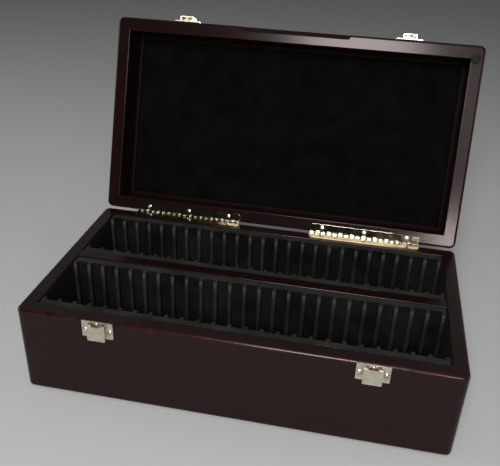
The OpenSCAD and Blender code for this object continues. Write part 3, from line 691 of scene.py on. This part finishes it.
def coil_spring():
    """Two and a half turns of 0.3 mm wire, with a leg at each end: one towards the plate and
    one behind the flap."""
    turns, leg_l, wire_sides, turn_steps = 2.5, 5, 8, 16
    coil_r, coil_pitch = LEVER_PIN_R + 0.05 + WIRE_R, 2.05 * WIRE_R
    bm = bmesh.new()
    start = bmesh.ops.create_circle(bm, segments=wire_sides, radius=WIRE_R,
                                    cap_ends=False)["verts"]
    moved(bm, shift(0, leg_l, coil_r) @ Matrix.Rotation(pi / 2, 4, "X"))
    leg = bmesh.ops.extrude_edge_only(bm, edges=bm.edges[:])["geom"]
    verts, edges = verts_in(leg), edges_in(leg)
    bmesh.ops.translate(bm, verts=verts, vec=(0, -leg_l, 0))
    wound = bmesh.ops.spin(bm, geom=verts + edges, axis=(1, 0, 0), cent=(0, 0, 0),
                           dvec=(coil_pitch / turn_steps, 0, 0), angle=2 * pi * turns,
                           steps=int(turn_steps * turns), use_merge=False)
    leg = bmesh.ops.extrude_edge_only(bm, edges=edges_in(wound["geom_last"]))["geom"]
    finish = verts_in(leg)
    bmesh.ops.translate(bm, verts=finish, vec=(0, leg_l, 0))
    for loop in (start, finish):
        bmesh.ops.contextual_create(bm, geom=loop)
    return bm


for hand, s in (("left", -1), ("right", 1)):
    at_rim = shift(s * CATCH_X, -CASE_D / 2, BASE_H) @ FACING
    piece("catch_plate_" + hand + "_pressed", catch_plate(), "base", CATCH_NICKEL,
          ["catch_plate_" + hand], at_rim)
    piece("catch_lever_" + hand + "_folded", catch_lever(), "latch_" + hand, CATCH_NICKEL,
          ["catch_lever_" + hand], at_rim)
    heads = merged(ear_screws(EAR_X, EAR_Z, 0.7, 0.5 * s),
                   moved(mid_screw(), shift(0, MID_Z, PLATE_T)))
    piece("catch_screws_" + hand + "_domed", heads, "base", SCREW_NICKEL,
          ["catch_screws_" + hand], at_rim)
    at_pivot = at_rim @ shift(0, AXIS_Z, AXIS_Q)
    cheek_x = LEVER_W / 2
    pin = merged(rod(4.5, cheek_x + 0.1, LEVER_PIN_R, 0.1),
                 rod(cheek_x + 0.05, cheek_x + 0.4, 2 * LEVER_PIN_R, 0.15))
    piece("lever_pins_" + hand + "_headed", copied(pin, Matrix(), MIRROR_X), "base", STEEL,
          ["lever_pins_" + hand], at_pivot)
    coil = copied(coil_spring(), shift(4.8) @ MIRROR_Y)
    piece("lever_springs_" + hand + "_wound", copied(coil, Matrix(), MIRROR_X), "base", STEEL,
          ["lever_springs_" + hand], at_pivot)


# Strikers on the lid

def striker():
    """The pressed plate and its raised housing, a shell that is open below for the fork."""
    foot, edge, open_y = 0.3, 0.5, 0.9
    plate = block((-STRIKE_W / 2, STRIKE_W / 2), (1, 1 + STRIKE_H), (0, PLATE_T), corner=0.8,
                  edge=0.3)
    shell = block((-HOUSING_W / 2, HOUSING_W / 2), (foot, foot + HOUSING_H),
                  (PLATE_T - 0.2, HOUSING_Q), corner=0.6, edge=edge, edge_steps=3)
    bmesh.ops.bisect_plane(
        shell, geom=shell.verts[:] + shell.edges[:] + shell.faces[:], clear_inner=True,
        plane_co=(0, open_y, 0), plane_no=(0, 1, 0))
    bmesh.ops.translate(shell, verts=[v for v in shell.verts if v.co.y < open_y + 0.05],
                        vec=(0, foot - open_y, 0))
    bmesh.ops.recalc_face_normals(shell, faces=shell.faces)
    bmesh.ops.solidify(shell, geom=shell.faces[:], thickness=0.9)
    return merged(plate, shell)


def striker_fork():
    """A tongue whose two prongs reach past the middle screw, each with a rounded toe."""
    inside, outside = 2.3, 3.5
    tip, crotch, top = AXIS_Z - 5.2, 4, 11
    under, over, toe_q = 1.5, 2.5, 3.6
    parts = [block((-outside, outside), (crotch, top), (PLATE_T, over), corner=0.8, edge=0.2)]
    for side in (-1, 1):
        x = sorted((side * inside, side * outside))
        parts.append(block(x, (tip, crotch + 0.5), (under, over), edge=0.2))
        toe = block(x, (tip, tip + 1), (under, toe_q))
        bevel(toe, [e for e in sharp(toe) if all(v.co.z > toe_q - 0.1 for v in e.verts)
                    and abs(e.verts[0].co.x - e.verts[1].co.x) > 0.5], 0.48, 4)
        parts.append(toe)
    return merged(*parts)


for hand, s in (("left", -1), ("right", 1)):
    at_lid = OPENED @ shift(s * CATCH_X, -CASE_D / 2, LID_Z) @ FACING
    piece("striker_" + hand + "_pressed", striker(), "lid", CATCH_NICKEL,
          ["striker_" + hand], at_lid)
    piece("striker_fork_" + hand + "_bent", striker_fork(), "lid", CATCH_NICKEL,
          ["striker_fork_" + hand], at_lid)
    piece("striker_screws_" + hand + "_domed",
          ear_screws(STRIKER_EAR_X, STRIKER_EAR_Z, 0.4, 1.0), "lid", SCREW_NICKEL,
          ["striker_screws_" + hand], at_lid)


# Bumper

def bumper():
    """A felt-faced disc, its edge worn round and its face a little crowned."""
    r, t = BUMPER_R, BUMPER_T
    return turned([(0, 0), (r, 0), (r, -0.55 * t), (r - 0.15, -0.8 * t), (r - 0.5, -0.95 * t),
                   (r / 2, -t), (0, -t)], 40)


piece("bumper_disc", bumper(), "lid", PAD_FELT, ["bumper"],
      OPENED @ shift(CASE_L / 2 - BUMPER_IN_X, -CASE_D / 2 + BUMPER_IN_Y, LID_Z))


# Floor, light and camera

def stage_floor():
    """A wide sheet of matte grey paper: an even tone without gloss."""
    bm = bmesh.new()
    bmesh.ops.create_grid(bm, x_segments=1, y_segments=1, size=6)
    mesh = bpy.data.meshes.new("floor")
    bm.to_mesh(mesh)
    bm.free()
    floor = bpy.data.objects.new("floor", mesh)
    bpy.context.collection.objects.link(floor)
    paper = new_material("floor_matte_paper", **{
        "Base Color": linear("#b8b8b8"), "Roughness": 0.9, "Specular IOR Level": 0.1})
    mesh.materials.append(paper[0])


def softbox(name, place, aim, width, height, power, spread=180):
    """A lamp at place, in metres, of power in watts and spread in degrees."""
    light = bpy.data.lights.new(name, "AREA")
    light.shape = "RECTANGLE"
    light.size, light.size_y = width, height
    light.energy = power
    light.spread = radians(spread)
    lamp = bpy.data.objects.new(name, light)
    bpy.context.collection.objects.link(lamp)
    lamp.location = place
    lamp.visible_camera = False
    lamp.rotation_euler = (Vector(aim) - Vector(place)).to_track_quat("-Z", "Y").to_euler()


stage_floor()
# In front: the main light, a small low one, and a tall panel for the lid's right rim
softbox("key", (0.01, -1.30, 1.05), (0.0, 0.05, 0.12), 0.40, 0.60, 23)
softbox("low_side", (0.37, -1.30, 0.40), (0.1, 0.05, 0.12), 0.09, 0.12, 2.4)
softbox("right_panel", (0.46, -1.30, 0.72), (0.18, 0.1, 0.15), 0.24, 0.60, 1.5)
# Behind the case, low, and turned up towards the lid
softbox("behind", (0.0, 0.80, 0.10), (0.0, 0.12, 0.48), 0.60, 0.10, 2.2, spread=80)
# Weak light from the sides and from above
softbox("left_side", (-1.5, -0.1, 0.7), (0.0, 0.0, 0.1), 0.7, 0.7, 4)
softbox("right_side", (1.5, 0.1, 0.5), (0.0, 0.0, 0.1), 0.5, 0.5, 3)
softbox("overhead", (-0.02, -0.6, 1.7), (0.0, 0.0, 0.1), 0.8, 0.8, 4)
world = bpy.data.worlds.new("studio")
bpy.context.scene.world = world
world.use_nodes = True
sky = world.node_tree
sky.nodes.clear()
toward = add(sky, "ShaderNodeTexCoord").outputs["Generated"]
depth = add(sky, "ShaderNodeSeparateXYZ", {"Vector": toward}).outputs["Y"]
# The room is dark in front of the case, behind the main lamps, and lighter behind it
level = add(sky, "ShaderNodeMapRange", {"Value": depth, "From Min": -0.5, "From Max": 0.8,
                                        "To Min": 0.015, "To Max": 0.24},
            interpolation_type="SMOOTHSTEP")
glow = add(sky, "ShaderNodeBackground", {"Color": linear("#f2f2f4"),
                                         "Strength": level.outputs["Result"]})
add(sky, "ShaderNodeOutputWorld", {"Surface": glow.outputs["Background"]})

# The camera that fits the case's straight edges in the photograph, in the photograph's pixels
PHOTO_W, PHOTO_H, FOCAL, CENTRE_X, CENTRE_Y = 500, 466, 657.26, 256.32, 249.62
camera_data = bpy.data.cameras.new("camera")
camera_data.sensor_fit = "HORIZONTAL"
camera_data.sensor_width = 36.0
camera_data.lens = FOCAL / PHOTO_W * camera_data.sensor_width
camera_data.shift_x = -(CENTRE_X - PHOTO_W / 2) / PHOTO_W
camera_data.shift_y = (CENTRE_Y - PHOTO_H / 2) / PHOTO_W
camera = bpy.data.objects.new("camera", camera_data)
bpy.context.collection.objects.link(camera)
right = Vector((0.98050887, 0.19258776, 0.03888854))
down = Vector((0.12935392, -0.48378883, -0.8655726))
forward = Vector((-0.14788484, 0.853732, -0.49927122))
turn = Matrix((right, -down, -forward)).transposed().to_4x4()
camera.matrix_world = Matrix.Translation((0.08793, -0.51042, 0.41291)) @ turn
bpy.context.scene.camera = camera
bpy.context.scene.view_settings.view_transform = "Standard"
